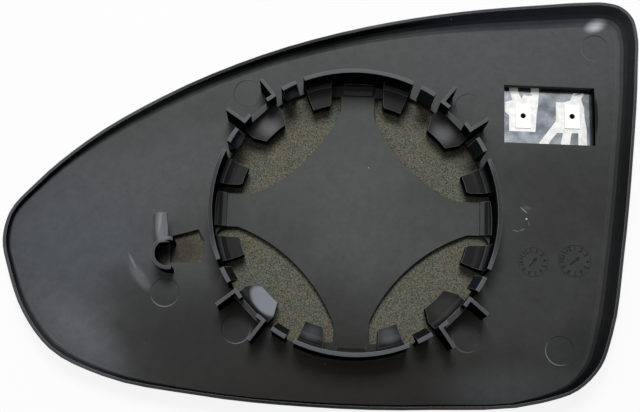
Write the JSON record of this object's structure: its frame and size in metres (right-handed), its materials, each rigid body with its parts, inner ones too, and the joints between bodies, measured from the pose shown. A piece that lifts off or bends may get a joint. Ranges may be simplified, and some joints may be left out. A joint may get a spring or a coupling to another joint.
{
  "type": "car door mirror glass",
  "caption": "Heated car door mirror glass on a black moulded backing plate with a snap-in actuator ring, a hub with openings, a heater window and a wiring hook.",
  "frame": {"origin": "on the axis of the actuator ring, in the plane of the glass face", "axes": "+Z along the ring axis to the rear of the mirror, +X along the plate towards its wide end, +Y across the plate towards its upper edge"},
  "size_m": [0.1921, 0.1285, 0.018],
  "materials": {
    "black_plastic": "moulded, satin, lightly scuffed",
    "mirror_glass": "polished glass with a reflective coating",
    "heater_film": "pale polyester film, smooth",
    "silver_print": "matt printed conductor",
    "tinned_tab": "thin tinned strip, satin",
    "foam_pad": "speckled adhesive foam"
  },
  "bodies": {
    "root": {"backing_plate": "black_plastic", "mirror_glass": "mirror_glass", "heater_film": "heater_film", "heater_bus_upper": "silver_print", "heater_bus_lower": "silver_print", "contact_left": "tinned_tab", "contact_right": "tinned_tab", "adhesive_pad": "foam_pad"}
  },
  "joints": []
}
